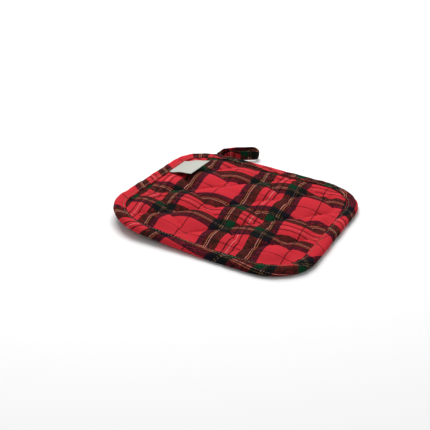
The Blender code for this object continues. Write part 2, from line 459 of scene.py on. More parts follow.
@dataclass(frozen=True)
class SatinFinish:
    """Pale satin ribbon. It reads the UV map "cloth", in metres along and across.

    Attributes:
        name: The material's name.
        colour: Its main colour.
        tint: The colour of its faint streaks.
        streaks: The streaks' angle to the metre, in radians.
        streak_scale: Scale of the noise that bends the streaks.
        streak_bend: How far they bend, in radians.
        cloud_scale: Scale of the noise that fades them.
        tint_share: How strong the streaks are.
        ribs: The weave's angle to the metre, in radians.
        weft_height: Height of the weft's ribs beside the warp's.
        depth: Height of a rib in metres.
        roughness: The shader's roughness.
        specular: The shader's specular level.
        sheen: The shader's sheen.
    """

    name: str = "label_satin"
    colour: tuple[float, float, float, float] = (0.375, 0.405, 0.345, 1.0)
    tint: tuple[float, float, float, float] = (0.440, 0.385, 0.360, 1.0)
    streaks: float = 5200.0
    streak_scale: float = 160.0
    streak_bend: float = 6.0
    cloud_scale: float = 190.0
    tint_share: float = 0.9
    ribs: float = 9000.0
    weft_height: float = 0.4
    depth: float = 0.00003
    roughness: float = 0.42
    specular: float = 0.45
    sheen: float = 0.1

    def material(self) -> bpy.types.Material:
        """Makes fine ribs along the ribbon, with faint uneven tints.

        Returns:
            The material.
        """
        nodes = Nodes(self.name)
        across, along = nodes.coordinate("cloth")
        bend = nodes.noise(self.streak_scale, 3.0) * self.streak_bend
        streak = (across * self.streaks + bend).sine() * 0.5 + 0.5
        cloud = nodes.noise(self.cloud_scale, 2.0)
        colour = nodes.mix(streak * cloud * self.tint_share, self.colour, self.tint)
        height = (across * self.ribs).sine() + (along * self.ribs).sine() * self.weft_height
        constants = {
            "Roughness": self.roughness,
            "Specular IOR Level": self.specular,
            "Sheen Weight": self.sheen,
        }
        nodes.finish(constants, colour, height, self.depth)
        return nodes.material


@dataclass(frozen=True)
class ThreadFinish:
    """Sewing thread: a plain colour with a faint twist.

    Attributes:
        name: The material's name.
        colour: Its colour.
        roughness: The shader's roughness.
        mottle_scale: Scale of the light and dark spots.
        mottle: Their strength.
        darkest: What is left of the colour at the darkest spot.
        twist_scale: Scale of the noise in the bump.
        depth: Its height in metres.
    """

    name: str
    colour: tuple[float, float, float, float]
    roughness: float = 0.6
    mottle_scale: float = 2200.0
    mottle: float = 0.5
    darkest: float = 0.75
    twist_scale: float = 3000.0
    depth: float = 0.00008

    def material(self) -> bpy.types.Material:
        """Makes the thread's mottled colour and its twist.

        Returns:
            The material.
        """
        nodes = Nodes(self.name)
        mottle = nodes.noise(self.mottle_scale, 1.0) * self.mottle + self.darkest
        colour = nodes.mix(1.0, self.colour, nodes.grey(mottle), "MULTIPLY")
        twist = nodes.noise(self.twist_scale, 1.0)
        nodes.finish({"Roughness": self.roughness}, colour, twist, self.depth)
        return nodes.material


@dataclass(frozen=True)
class FloorFinish:
    """The studio's plain pale floor.

    Attributes:
        name: The material's name.
        colour: Its colour.
        roughness: The shader's roughness.
        specular: The shader's specular level.
    """

    name: str = "studio_floor"
    colour: tuple[float, float, float, float] = (0.88, 0.88, 0.88, 1.0)
    roughness: float = 0.9
    specular: float = 0.1

    def material(self) -> bpy.types.Material:
        """Makes the plain floor.

        Returns:
            The material.
        """
        nodes = Nodes(self.name)
        constants = {"Roughness": self.roughness, "Specular IOR Level": self.specular}
        nodes.finish(constants, self.colour, None, 0.0)
        return nodes.material


# --------------------------------------------------------------------------------------
# Meshes from arrays
# --------------------------------------------------------------------------------------


@dataclass
class Shell:
    """Points and four-sided faces of one or more closed surfaces, with the cloth's map.

    Attributes:
        points: The points, one a row.
        quads: The numbers of the four points of each face.
        cloth: The cloth's map at the four corners of each face.
        caps: The numbers of the points of the faces that close the ends of tubes. These have
            more sides, all the same number, and no map.
    """

    points: Array
    quads: Array
    cloth: Array
    caps: Array | None = None

    @staticmethod
    def lattice(points: Array, cloth: Array, closed: tuple[bool, bool]) -> Shell:
        """Joins a grid of points into faces.

        Args:
            points: Rows by columns by 3.
            cloth: The map, one row or column longer than points in a closed direction.
            closed: Whether the rows and the columns join up at their ends.

        Returns:
            The surface, with the map at each corner of each face.
        """
        rows, columns = points.shape[:2]
        row, column = np.meshgrid(
            np.arange(rows - 1 + closed[0]), np.arange(columns - 1 + closed[1]), indexing="ij"
        )
        at_row = np.stack([row, row, row + 1, row + 1], axis=-1)
        at_column = np.stack([column, column + 1, column + 1, column], axis=-1)
        quads = (at_row % rows) * columns + at_column % columns
        corners = cloth[at_row, at_column]
        return Shell(points.reshape(-1, 3), quads.reshape(-1, 4), corners.reshape(-1, 4, 2))

    @staticmethod
    def two_sided(upper: Array, lower: Array, cloth: Array, shift: float = 0.0) -> Shell:
        """Joins two grids of points, one over the other, into a closed surface.

        Faces between the two borders, once round the grids, close it.

        Args:
            upper: The upper side, rows by columns by 3.
            lower: The lower side, of the same size.
            cloth: The map at each point of a side.
            shift: How far the map is shifted on the lower side.

        Returns:
            The closed surface.
        """
        top = Shell.lattice(upper, cloth, (False, False))
        sides = top.joined(Shell.lattice(lower, cloth + shift, (False, False)).flipped())
        rows, columns = cloth.shape[:2]
        below = rows * columns
        run, rise = np.arange(columns - 1), np.arange(rows - 1)
        right, left = rise * columns + columns - 1, (rows - 1 - rise) * columns
        first = np.concatenate([run, right, below - 1 - run, left])
        second = np.concatenate([first[1:], first[:1]])
        wall = np.stack([second, first, first + below, second + below], axis=-1)
        flat = cloth.reshape(-1, 2)
        corners = np.stack([flat[second], flat[first], flat[first], flat[second]], axis=1)
        quads = np.concatenate([sides.quads, wall])
        return Shell(sides.points, quads, np.concatenate([sides.cloth, corners]))

    def joined(self, other: Shell) -> Shell:
        """Joins two surfaces without merging their points.

        Args:
            other: The other surface.

        Returns:
            Both as one.
        """
        before = len(self.points)
        points = np.concatenate([self.points, other.points])
        quads = np.concatenate([self.quads, other.quads + before])
        cloth = np.concatenate([self.cloth, other.cloth])
        if self.caps is None or other.caps is None:
            return Shell(points, quads, cloth)
        return Shell(points, quads, cloth, np.concatenate([self.caps, other.caps + before]))

    def flipped(self) -> Shell:
        """Returns the surface with every face turned round."""
        caps = None if self.caps is None else self.caps[:, ::-1]
        return Shell(self.points, self.quads[:, ::-1], self.cloth[:, ::-1], caps)

    def facing_out(self) -> Shell:
        """Turns the surface so that its volume is positive.

        The volume is a sixth of the sum, over the triangles, of the triple product of their
        corners.

        Returns:
            The surface, or itself turned round.
        """
        a, b, c, d = (self.points[self.quads[:, k]] for k in range(4))
        total = (a * np.cross(b, c)).sum() + (a * np.cross(c, d)).sum()
        return self if total > 0.0 else self.flipped()

    def build(self, name: str, material: bpy.types.Material) -> bpy.types.Object:
        """Makes the mesh object.

        Args:
            name: The piece's name.
            material: Its material.

        Returns:
            The object, linked to the scene at the origin.
        """
        shell = self.facing_out()
        mesh = bpy.data.meshes.new(name)
        caps = [] if shell.caps is None else shell.caps.tolist()
        mesh.from_pydata(shell.points.tolist(), [], shell.quads.tolist() + caps)
        cloth = np.zeros((len(mesh.loops), 2), np.float32)
        cloth[: shell.quads.size] = shell.cloth.reshape(-1, 2)
        layer = mesh.uv_layers.new(name="cloth")
        layer.uv.foreach_set("vector", cloth.ravel())
        mesh.shade_smooth()
        mesh.materials.append(material)
        obj = bpy.data.objects.new(name, mesh)
        bpy.context.scene.collection.objects.link(obj)
        return obj


def ripple(x: Array, y: Array, wavelength: float, seed: int, waves: int = 9) -> Array:
    """Gives soft unevenness of about -1 to 1: a sum of plane sine waves, seeded.

    Args:
        x: Plan coordinates.
        y: Plan coordinates.
        wavelength: The middle wavelength, in metres.
        seed: Which pattern.
        waves: How many waves are summed.

    Returns:
        The sum at each point.
    """
    random = np.random.default_rng(seed)
    angle = random.uniform(0.0, 2.0 * math.pi, waves)
    length = wavelength * random.uniform(SHORTEST, LONGEST, waves)
    phase = random.uniform(0.0, 2.0 * math.pi, waves)
    total = np.zeros(np.broadcast(x, y).shape)
    for turn, size, start in zip(angle, length, phase):
        along = x * math.cos(turn) + y * math.sin(turn)
        total = total + np.sin(2.0 * math.pi / size * along + start)
    return total / math.sqrt(waves)


def smooth_step(t: Array) -> Array:
    """Returns 0 below t = 0, 1 above t = 1, with level ends."""
    t = np.clip(t, 0.0, 1.0)
    return t * t * (3.0 - 2.0 * t)


def smooth_curve(points: Array, steps: int) -> Array:
    """Draws a closed Catmull-Rom curve through points.

    Between two points the curve is a cubic that leaves each of them along the line between
    its neighbours.

    Args:
        points: The points to pass, one a row.
        steps: How many pieces between two points.

    Returns:
        The curve's points.
    """
    t = (np.arange(steps) / steps)[None, :, None]
    p0, p1, p2, p3 = (np.roll(points, k, axis=0)[:, None, :] for k in (1, 0, -1, -2))
    cubic = -p0 + 3.0 * p1 - 3.0 * p2 + p3
    square = 2.0 * p0 - 5.0 * p1 + 4.0 * p2 - p3
    curve = p1 + 0.5 * t * (p2 - p0 + t * (square + t * cubic))
    return curve.reshape(-1, points.shape[1])


# --------------------------------------------------------------------------------------
# Shapes shared by the pieces
# --------------------------------------------------------------------------------------


@dataclass(frozen=True)
class Outline:
    """The holder's plan: a rounded square, level except for its curled front-left corner.

    Attributes:
        middle_x: Where the pad's middle is along X in the part's frame.
        middle_y: Where it is along Y.
        half: Half the width of the square.
        radius: Radius of its corners.
        towards: The way the curl faces.
        curl_starts: Distance that way from the middle to where the curl starts.
        curl_run: Distance from there to the corner.
        curl_height: How high the corner rises.
        curl_power: How sharply it bends.
    """

    middle_x: float
    middle_y: float
    half: float = 0.1015
    radius: float = 0.048
    towards: tuple[float, float] = (-0.85, -0.33)
    curl_starts: float = 0.015
    curl_run: float = 0.101
    curl_height: float = 0.010
    curl_power: float = 1.6

    @property
    def core(self) -> float:
        """Returns the half width of the square of corner centres."""
        return self.half - self.radius

    @property
    def length(self) -> float:
        """Returns the length of the outside edge."""
        return 8.0 * self.core + 2.0 * math.pi * self.radius

    def curl(self, x: Array, y: Array) -> Array:
        """Height of the resting side: a power of the distance past the level part."""
        along = self.towards[0] * x + self.towards[1] * y - self.curl_starts
        return self.curl_height * (np.maximum(along, 0.0) / self.curl_run) ** self.curl_power

    def inset(self, x: Array, y: Array) -> Array:
        """Measures inwards from the outside edge, by the rounded square's distance rule.

        Args:
            x: Plan coordinates.
            y: Plan coordinates.

        Returns:
            The distances, positive inside.
        """
        over_x, over_y = np.abs(x) - self.core, np.abs(y) - self.core
        outer = np.hypot(np.maximum(over_x, 0.0), np.maximum(over_y, 0.0))
        return self.radius - outer - np.minimum(np.maximum(over_x, over_y), 0.0)

    def edge(self, along: Array) -> tuple[Array, Array]:
        """Finds points of the outside edge and their outward directions.

        Args:
            along: Distances round the edge, counter-clockwise from the front end of the
                right side's straight part.

        Returns:
            Two arrays of plan vectors.
        """
        side = 2.0 * self.core
        quarter = side + self.radius * math.pi / 2.0
        turn = np.floor(along / quarter)
        rest = along - turn * quarter
        base = turn * math.pi / 2.0
        angle = base + np.maximum(rest - side, 0.0) / self.radius
        outward = np.stack([np.cos(angle), np.sin(angle)], axis=-1)
        straight = np.stack([np.cos(base), np.sin(base)], axis=-1)
        across = np.stack([-np.sin(base), np.cos(base)], axis=-1)
        share = np.minimum(rest, side) - self.core
        return straight * self.core + across * share[..., None] + outward * self.radius, outward

    def place(self, points: Array) -> Array:
        """Moves points from the pad's own middle to the part's frame."""
        return points + np.array([self.middle_x, self.middle_y, 0.0])


@dataclass(frozen=True)
class Quilting:
    """Two sets of parallel seams, turned with the tartan, and the puffs between them.

    Attributes:
        turn: How far the cloth is turned on the pad.
        origin: Middle of a large red square, which is the cloth's origin.
        half_sett: The tartan's half-sett.
        spacing: Distance between two seams of a set.
        offsets: Distance of each set's first seam from the origin.
        power: How round the puffs are.
        pull_reach: How far a pull of the filling reaches.
        pulls: The pulls. Columns: their middle, and how far they shift the cloth there.
        pucker_pitch: Distance between two creases along a seam.
        pucker_bend: How far the creases wander, in radians.
        pucker_run: Over what length they wander.
        pucker_seeds: The patterns of the two sets' creases.
    """

    turn: float = math.radians(4.0)
    origin: tuple[float, float] = (-0.0310, 0.0225)
    half_sett: float = HALF_SETT
    spacing: float = 0.040
    offsets: tuple[float, float] = (-0.0053, -0.0130)
    power: float = 0.55
    pull_reach: float = 0.021
    pulls: tuple[tuple[float, float, float, float], ...] = (
        (0.066, 0.079, -0.0057, -0.0007),
        (-0.081, 0.019, -0.0010, -0.0060),
        (-0.084, -0.031, 0.0029, -0.0043),
        (-0.035, -0.028, -0.0030, 0.0030),
        (-0.038, -0.078, -0.0030, 0.0045),
        (0.012, -0.074, 0.0010, -0.0040),
        (-0.088, -0.081, 0.0028, 0.0024),
        (0.019, 0.026, -0.0005, 0.0035),
    )
    pucker_pitch: float = 0.0064
    pucker_bend: float = 1.6
    pucker_run: float = 0.022
    pucker_seeds: tuple[int, int] = (31, 32)

    def pulled(self, x: Array, y: Array) -> tuple[Array, Array]:
        """Finds where a place on the pad lay in the flat cloth, before the filling pulled it.

        Each pull's shift fades as a bell around its middle.

        Args:
            x: Plan coordinates.
            y: Plan coordinates.

        Returns:
            The plan coordinates before the pulls.
        """
        flat_x, flat_y = x, y
        for middle_x, middle_y, shift_x, shift_y in self.pulls:
            bell = np.exp(-((x - middle_x) ** 2 + (y - middle_y) ** 2) / self.pull_reach**2)
            flat_x, flat_y = flat_x - bell * shift_x, flat_y - bell * shift_y
        return flat_x, flat_y

    def cloth(self, x: Array, y: Array) -> tuple[Array, Array]:
        """Turns plan coordinates with the cloth.

        Args:
            x: Plan coordinates.
            y: Plan coordinates.

        Returns:
            Distances from the cloth's origin, to the right and down.
        """
        dx, dy = x - self.origin[0], y - self.origin[1]
        right = dx * math.cos(self.turn) + dy * math.sin(self.turn)
        return right, dx * math.sin(self.turn) - dy * math.cos(self.turn)

    def across_seams(self, x: Array, y: Array) -> tuple[Array, Array]:
        """Measures across the two sets of seams, which run at 45 degrees to the threads.

        Args:
            x: Plan coordinates.
            y: Plan coordinates.

        Returns:
            The two distances, each a multiple of the spacing on a seam.
        """
        right, down = self.cloth(x, y)
        first = (right + down) / math.sqrt(2.0) - self.offsets[0]
        return first, (down - right) / math.sqrt(2.0) - self.offsets[1]

    def plan(self, first: Array, second: Array) -> tuple[Array, Array]:
        """Finds the point at two distances across the seams: across_seams turned round.

        Args:
            first: Distances across the first set.
            second: Distances across the second set.

        Returns:
            The plan coordinates.
        """
        total = (first + self.offsets[0]) * math.sqrt(2.0)
        change = (second + self.offsets[1]) * math.sqrt(2.0)
        right, down = (total - change) / 2.0, (total + change) / 2.0
        x = self.origin[0] + right * math.cos(self.turn) + down * math.sin(self.turn)
        return x, self.origin[1] + right * math.sin(self.turn) - down * math.cos(self.turn)

    def puff(self, x: Array, y: Array) -> Array:
        """Gives the fullness, which is a power of the product of two sines.

        Args:
            x: Plan coordinates.
            y: Plan coordinates.

        Returns:
            1 in the middle of a diamond and 0 on a seam.
        """
        first, second = self.across_seams(x, y)
        waves = np.abs(np.sin(math.pi * first / self.spacing))
        return (waves * np.abs(np.sin(math.pi * second / self.spacing))) ** self.power

    def puckers(self, x: Array, y: Array, reach: float) -> Array:
        """Sums short creases that leave each seam at right angles.

        A crease is a sine along the seam, times an exponential fall away from it.

        Args:
            x: Plan coordinates.
            y: Plan coordinates.
            reach: How far from the seam they fade.

        Returns:
            The sum, of about -1 to 1 on a seam.
        """
        first, second = self.across_seams(x, y)
        total = np.zeros(x.shape)
        sets = ((first, second), (second, first))
        for (across, along), seed in zip(sets, self.pucker_seeds):
            off = across - self.spacing * np.round(across / self.spacing)
            bend = self.pucker_bend * ripple(x, y, self.pucker_run, seed)
            phase = along * 2.0 * math.pi / self.pucker_pitch + bend
            total = total + np.exp(-np.abs(off) / reach) * np.sin(phase)
        return total


# --------------------------------------------------------------------------------------
# Pieces
# --------------------------------------------------------------------------------------


@dataclass(frozen=True)
class QuiltedPad:
    """The filled pad inside the binding.

    Attributes:
        outline: The holder's plan.
        quilting: The pad's seams.
        rings: Rings of the grid from the middle to the rim.
        rim_inset: How far the rim lies inside the binding.
        rim_half: Half the rim's thickness.
        middle: Height of the rim's middle.
        ramp_starts: How far inside the edge the filling starts to show.
        ramp_width: Over what width it rises.
        channel: Height of the sewn channels over the rim's top.
        dome: How much higher the pad's middle is.
        rise: Height of a puff over its channels.
        dimples: Drawn-in places. Columns: their middle, depth and reach.
        pucker: Height of the upper creases.
        pucker_reach: How far from a seam they fade.
        soft: Soft unevenness on top. Columns: height, wavelength and pattern.
        soft_on_seam: The share of it that is left on a seam.
        under_channel: Depth of the lower channels.
        under_flat: The fullness past which the lower cloth is level.
        under_pucker: Height of the lower creases.
        under_pucker_reach: How far from a seam they fade.
        under_shift: How far the tartan is shifted on the lower side, in half-setts.
    """

    outline: Outline
    quilting: Quilting
    rings: int = 104
    rim_inset: float = 0.0038
    rim_half: float = 0.0022
    middle: float = RIM_MIDDLE
    ramp_starts: float = 0.0118
    ramp_width: float = 0.0150
    channel: float = -0.0026
    dome: float = 0.0020
    rise: float = 0.0060
    dimples: tuple[tuple[float, float, float, float], ...] = (
        (0.0695, 0.0700, 0.0034, 0.0050),
        (0.0760, 0.0640, 0.0016, 0.0060),
    )
    pucker: float = 0.00018
    pucker_reach: float = 0.0050
    soft: tuple[tuple[float, float, int], ...] = (
        (0.00040, 0.034, 11),
        (0.00012, 0.009, 12),
    )
    soft_on_seam: float = 0.3
    under_channel: float = 0.0018
    under_flat: float = 0.45
    under_pucker: float = 0.000075
    under_pucker_reach: float = 0.0040
    under_shift: float = 0.37

    def plan(self) -> tuple[Array, Array]:
        """Lays out a square grid whose rings round off towards the rim.

        A ring of half width h has corners of a radius that grows with the square of h. A
        point is placed by its share of the way from the side's middle to the corner.

        Returns:
            The plan coordinates of its points.
        """
        index = np.arange(-self.rings, self.rings + 1)
        column, row = np.meshgrid(index, index)
        ring = np.maximum(np.abs(column), np.abs(row))
        share = np.minimum(np.abs(column), np.abs(row)) / np.maximum(ring, 1)
        rim = self.outline.half - self.rim_inset
        half = rim * ring / self.rings
        radius = (self.outline.radius - self.rim_inset) * (half / rim) ** 2
        straight = half - radius
        along = share * (straight + radius * math.pi / 4.0)
        turn = np.maximum(along - straight, 0.0) / np.maximum(radius, 1e-9)
        minor = np.where(along > straight, straight + radius * np.sin(turn), along)
        major = straight + radius * np.cos(turn)
        wide = np.abs(column) >= np.abs(row)
        x = np.sign(column) * np.where(wide, major, minor)
        return x, np.sign(row) * np.where(wide, minor, major)

    def ramp(self, x: Array, y: Array) -> Array:
        """Returns 0 under the binding and 1 where the filling is full."""
        return smooth_step((self.outline.inset(x, y) - self.ramp_starts) / self.ramp_width)

    def top(self, x: Array, y: Array, fullness: Array | float) -> Array:
        """Gives the upper cloth's height without its small creases.

        It is the curl, plus the rim's top, plus the ramp's share of channel, dome and puff.

        Args:
            x: Plan coordinates.
            y: Plan coordinates.
            fullness: The puff's share, from 0 to 1.

        Returns:
            The heights.
        """
        half = self.outline.half
        dome = np.maximum((1.0 - (x / half) ** 2) * (1.0 - (y / half) ** 2), 0.0)
        rise = self.channel + self.dome * dome + self.rise * fullness
        return self.outline.curl(x, y) + self.middle + self.rim_half + self.ramp(x, y) * rise

    def upper(self, x: Array, y: Array) -> Array:
        """Gives the upper cloth's height, with puckers, soft unevenness and dimples.

        A dimple is a bell of its depth and reach.

        Args:
            x: Plan coordinates.
            y: Plan coordinates.

        Returns:
            The heights.
        """
        small = self.pucker * self.quilting.puckers(x, y, self.pucker_reach)
        soft = sum(high * ripple(x, y, wavelength, seed) for high, wavelength, seed in self.soft)
        puff = self.quilting.puff(x, y)
        soft = soft * (self.soft_on_seam + (1.0 - self.soft_on_seam) * puff)
        for middle_x, middle_y, depth, reach in self.dimples:
            far = ((x - middle_x) ** 2 + (y - middle_y) ** 2) / reach**2
            small = small - depth * np.exp(-far)
        return self.top(x, y, puff) + self.ramp(x, y) * (small + soft)

    def lower(self, x: Array, y: Array) -> Array:
        """Gives the lower cloth's height: level puffs that rest, and shallow channels.

        Args:
            x: Plan coordinates.
            y: Plan coordinates.

        Returns:
            The heights.
        """
        drop = self.middle - self.rim_half
        channel = np.clip(1.0 - self.quilting.puff(x, y) / self.under_flat, 0.0, 1.0)
        creases = self.quilting.puckers(x, y, self.under_pucker_reach)
        small = self.under_pucker * creases * channel
        fall = drop - self.under_channel * channel
        return self.outline.curl(x, y) + drop - self.ramp(x, y) * (fall - small)

    def cloth(self, x: Array, y: Array) -> Array:
        """The tartan's coordinates on the pad, in half-setts."""
        right, down = self.quilting.cloth(*self.quilting.pulled(x, y))
        return np.stack([right, down], axis=-1) / self.quilting.half_sett

    def build(self, finish: TartanFinish) -> bpy.types.Object:
        """Makes the pad from an upper and a lower grid joined at the rim.

        Args:
            finish: The pad's cloth.

        Returns:
            The piece.
        """
        x, y = self.plan()
        upper = self.outline.place(np.stack([x, y, self.upper(x, y)], axis=-1))
        lower = self.outline.place(np.stack([x, y, self.lower(x, y)], axis=-1))
        shell = Shell.two_sided(upper, lower, self.cloth(x, y), self.under_shift)
        return shell.build("tartan_pad", finish.material())


@dataclass(frozen=True)
class Tape:
    """Bias tape of the same tartan, cut aslant, and how it runs round the edge.

    Attributes:
        slant: The angle at which the tape is cut.
        half_sett: The tartan's half-sett.
        chart: Columns: a distance round the edge, and the tartan's two coordinates there, in
            half-setts. The weft's grows unevenly, as the tape was stretched when sewn. The
            two ends of the tape meet where the chart jumps.
    """

    slant: float = math.radians(33.0)
    half_sett: float = HALF_SETT
    chart: tuple[tuple[float, float, float], ...] = (
        (0.0000, -0.297, -0.50),
        (0.0970, 1.410, 0.33),
        (0.1350, 2.079, 0.33),
        (0.1480, 2.308, 0.43),
        (0.2080, 3.364, 0.58),
        (0.2250, 3.663, 0.77),
        (0.3400, 5.687, 1.68),
        (0.4900, 8.327, 2.09),
        (0.5500, 9.220, 2.25),
        (0.6200, 10.510, 2.44),
        (0.7015, 12.049, 2.66),
        (0.7017, -0.790, -0.76),
        (0.7296, -0.297, -0.50),
    )

    def stations(self, total: float, count: int) -> Array:
        """Distances round the edge: even ones, with the chart's own in between."""
        own = [row[0] for row in self.chart[1:-1]]
        return np.sort(np.concatenate([np.linspace(0.0, total, count + 1), own]))

    def cloth(self, along: Array, across: Array) -> Array:
        """Gives the tartan's coordinates, in half-setts.

        Along the tape they follow the chart. Across it the warp's falls with the sine of the
        slant, and the weft's grows with its cosine.

        Args:
            along: Distances round the edge.
            across: Distances across the tape from the outermost point.

        Returns:
            The warp's and the weft's coordinate.
        """
        stations, warp, weft = np.array(self.chart).T
        warp_at = np.interp(along, stations, warp) - across * math.sin(self.slant) / self.half_sett
        weft_at = np.interp(along, stations, weft) + across * math.cos(self.slant) / self.half_sett
        return np.stack([warp_at, weft_at], axis=-1)


@dataclass(frozen=True)
class EdgeBinding:
    """The tape folded round the rim and sewn down along both of its edges.

    Attributes:
        outline: The holder's plan.
        tape: The tape.
        middle: Height of the tape's middle.
        stations: Sections round the edge.
        steps: Points of the smooth profile for each row of the profile.
        profile: Columns: the inset from the outside edge, the height over the middle, and 1
            where the cloth shows and may pucker.
        crease: Height of the creases across the tape.
        crease_pitch: Distance between two of them.
        crease_bend: How far they wander, in radians.
        crease_run: Over what length they wander.
        crease_seed: Their pattern.
        sewn_at: Distance from the outermost point to the sewn edge, where they are highest.
        corner_ease: Over what length they grow at a corner.
        soft: Height of the soft unevenness.
        soft_run: Its wavelength.
        soft_squeeze: How much shorter it is across the tape.
        soft_seed: Its pattern.
    """

    outline: Outline
    tape: Tape
    middle: float = RIM_MIDDLE
    stations: int = 420
    steps: int = 4
    profile: tuple[tuple[float, float, float], ...] = (
        (0.01165, 0.00270, 0.4),
        (0.01130, 0.00322, 1.0),
        (0.01040, 0.00335, 1.0),
        (0.00960, 0.00300, 0.3),
        (0.00870, 0.00335, 1.0),
        (0.00660, 0.00372, 1.0),
        (0.00420, 0.00362, 1.0),
        (0.00220, 0.00300, 1.0),
        (0.00080, 0.00180, 1.0),
        (0.00010, 0.00040, 1.0),
        (0.00010, -0.00060, 1.0),
        (0.00070, -0.00200, 0.6),
        (0.00190, -0.00305, 0.3),
        (0.00380, -0.00355, 0.0),
        (0.00600, -0.00360, 0.0),
        (0.00870, -0.00360, 0.0),
        (0.00960, -0.00340, 0.0),
        (0.01050, -0.00360, 0.0),
        (0.01130, -0.00352, 0.0),
        (0.01165, -0.00300, 0.0),
        (0.01120, -0.00250, 0.0),
        (0.00340, -0.00250, 0.0),
        (0.00260, -0.00130, 0.0),
        (0.00260, 0.00130, 0.0),
        (0.00340, 0.00250, 0.0),
        (0.01120, 0.00250, 0.0),
    )
    crease: float = 0.00016
    crease_pitch: float = 0.0071
    crease_bend: float = 1.8
    crease_run: float = 0.031
    crease_seed: int = 21
    sewn_at: float = 0.012
    corner_ease: float = 0.012
    soft: float = 0.00018
    soft_run: float = 0.017
    soft_squeeze: float = 1.6
    soft_seed: int = 22

    def across(self, profile: Array) -> Array:
        """Measures along the profile from its outermost point.

        Args:
            profile: The smooth profile, one point a row.

        Returns:
            The distance to each point and back to the first, positive towards the top.
        """
        steps = np.linalg.norm(np.diff(profile[:, :2], axis=0, append=profile[:1, :2]), axis=1)
        run = np.concatenate([[0.0], np.cumsum(steps)])
        outermost = int(np.argmin(profile[:, 0]))
        return run[outermost] - run

    def puckers(self, along: Array, across: Array) -> Array:
        """Gives small creases across the tape, stronger on its sewn edge and at the corners.

        A crease is a sine along the tape with a wandering phase. Its height grows evenly
        from the outermost point to the sewn edge.

        Args:
            along: Distances round the edge.
            across: Distances across the tape from the outermost point.

        Returns:
            How far the cloth is lifted.
        """
        quarter = self.outline.length / 4.0
        past = (along % quarter) - 2.0 * self.outline.core + self.corner_ease / 2.0
        corner = smooth_step(past / self.corner_ease)
        bend = self.crease_bend * ripple(along, across, self.crease_run, self.crease_seed)
        creases = np.sin(along * 2.0 * math.pi / self.crease_pitch + bend)
        sewn = np.clip(across / self.sewn_at, 0.0, 1.0)
        soft = ripple(along, across * self.soft_squeeze, self.soft_run, self.soft_seed)
        return self.crease * creases * sewn * (0.5 + corner) + self.soft * soft

    def build(self, finish: TartanFinish) -> bpy.types.Object:
        """Sweeps the profile once round the outline.

        Each point of the profile moves inwards and up from the edge, and out along the
        profile's own normal by its pucker.

        Args:
            finish: The tape's cloth.

        Returns:
            The piece.
        """
        profile = smooth_curve(np.array(self.profile), self.steps)
        across = self.across(profile)
        along = self.tape.stations(self.outline.length, self.stations)
        grid_along, grid_across = np.meshgrid(along, across, indexing="ij")
        edge, outward = self.outline.edge(along[:-1] % self.outline.length)
        tangent = np.roll(profile[:, :2], -1, axis=0) - np.roll(profile[:, :2], 1, axis=0)
        tangent /= np.linalg.norm(tangent, axis=1, keepdims=True)
        lift = self.puckers(grid_along[:-1, :-1], grid_across[:-1, :-1]) * profile[None, :, 2]
        inset = profile[None, :, 0] + tangent[None, :, 1] * lift
        height = profile[None, :, 1] - tangent[None, :, 0] * lift
        plan = edge[:, None, :] - outward[:, None, :] * inset[..., None]
        z = self.outline.curl(plan[..., 0], plan[..., 1]) + self.middle + height
        points = self.outline.place(np.concatenate([plan, z[..., None]], axis=-1))
        cloth = self.tape.cloth(grid_along, grid_across)
        shell = Shell.lattice(points, cloth, (True, True))
        return shell.build("bias_binding", finish.material())


